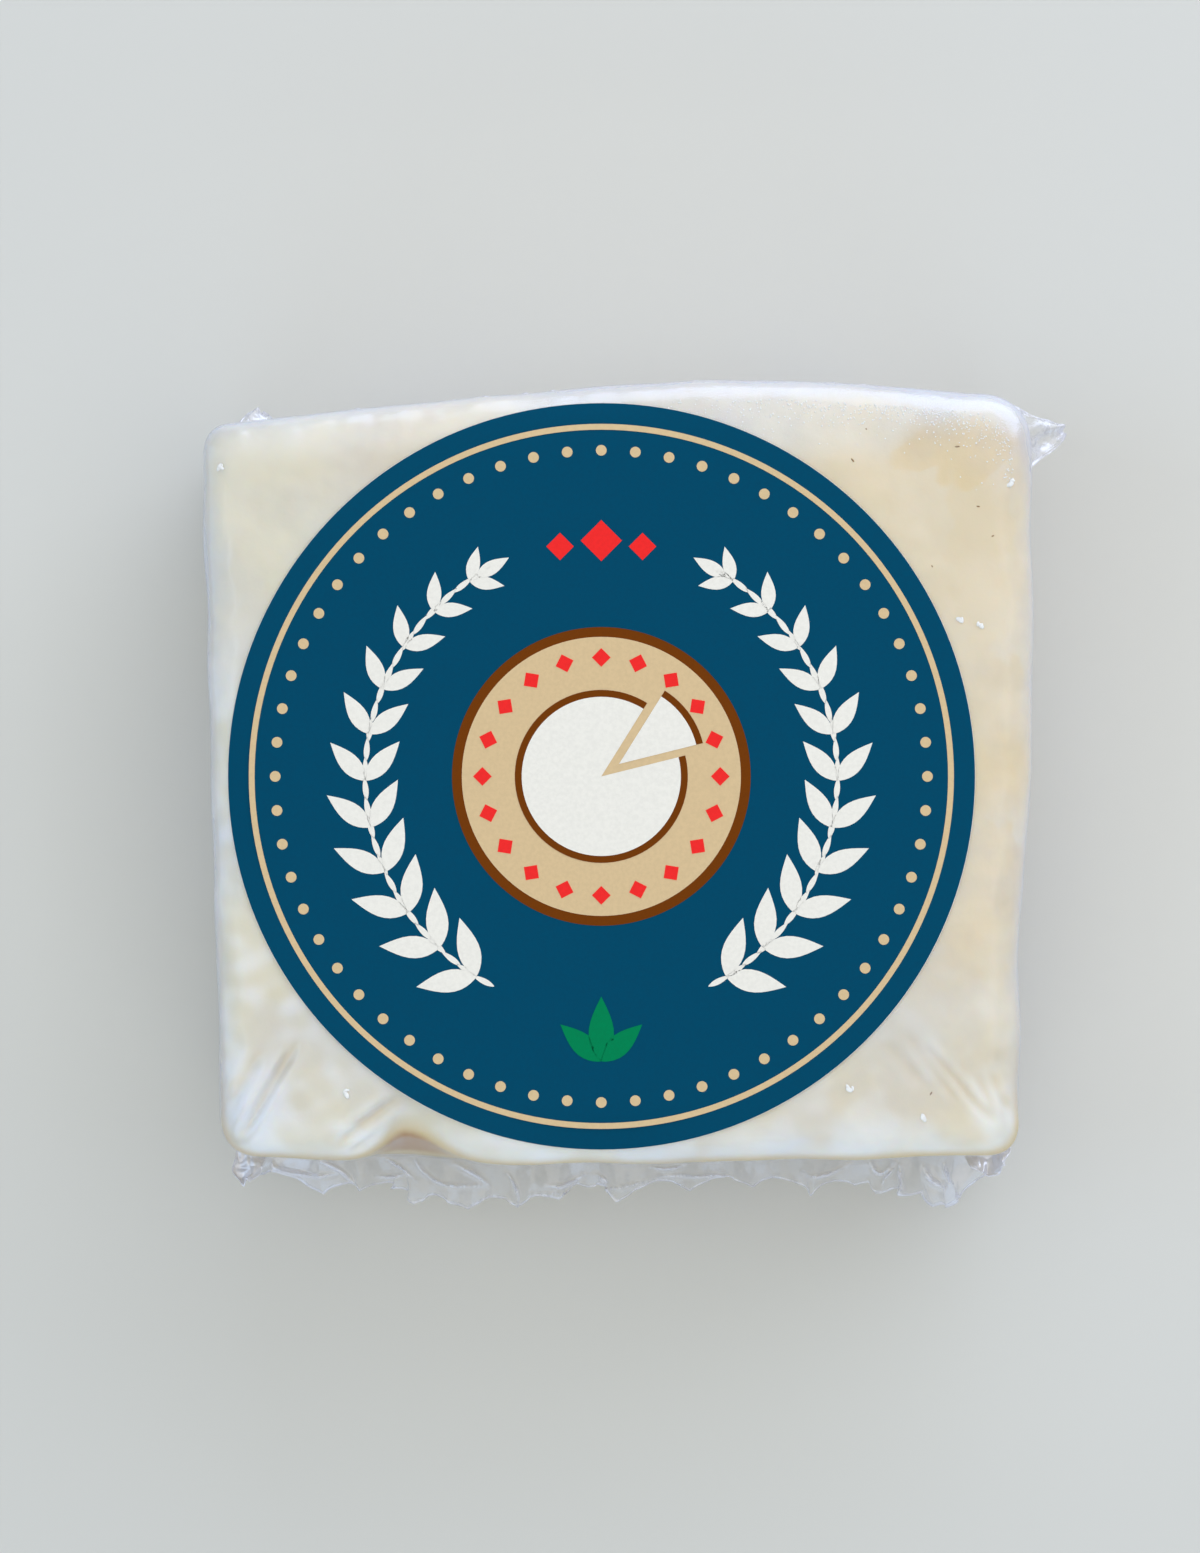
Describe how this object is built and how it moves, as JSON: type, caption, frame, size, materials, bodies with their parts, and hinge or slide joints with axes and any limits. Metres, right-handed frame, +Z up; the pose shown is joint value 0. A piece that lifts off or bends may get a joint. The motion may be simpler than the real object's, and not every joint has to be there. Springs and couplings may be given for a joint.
{
  "type": "film-sealed cheddar block",
  "caption": "Square block of pale cheddar sealed in clear shrink film, with ruffled sealed ends, standing film corners and a round paper label on top.",
  "frame": {"origin": "on the underside, in the middle of the block's outline without the film's ends", "axes": "+Z up through the label, +Y towards the back edge, +X to the right; the ruffled front fin points along -Y"},
  "size_m": [0.0903, 0.0874, 0.0295],
  "materials": {
    "cheese": "pale ivory cheese, moist and slightly see-through",
    "film": "clear glossy shrink film",
    "label": "coated paper printed dark blue, tan and cream, satin"
  },
  "bodies": {
    "root": {"sealed_cheddar": "cheese", "label": "label"}
  },
  "joints": []
}
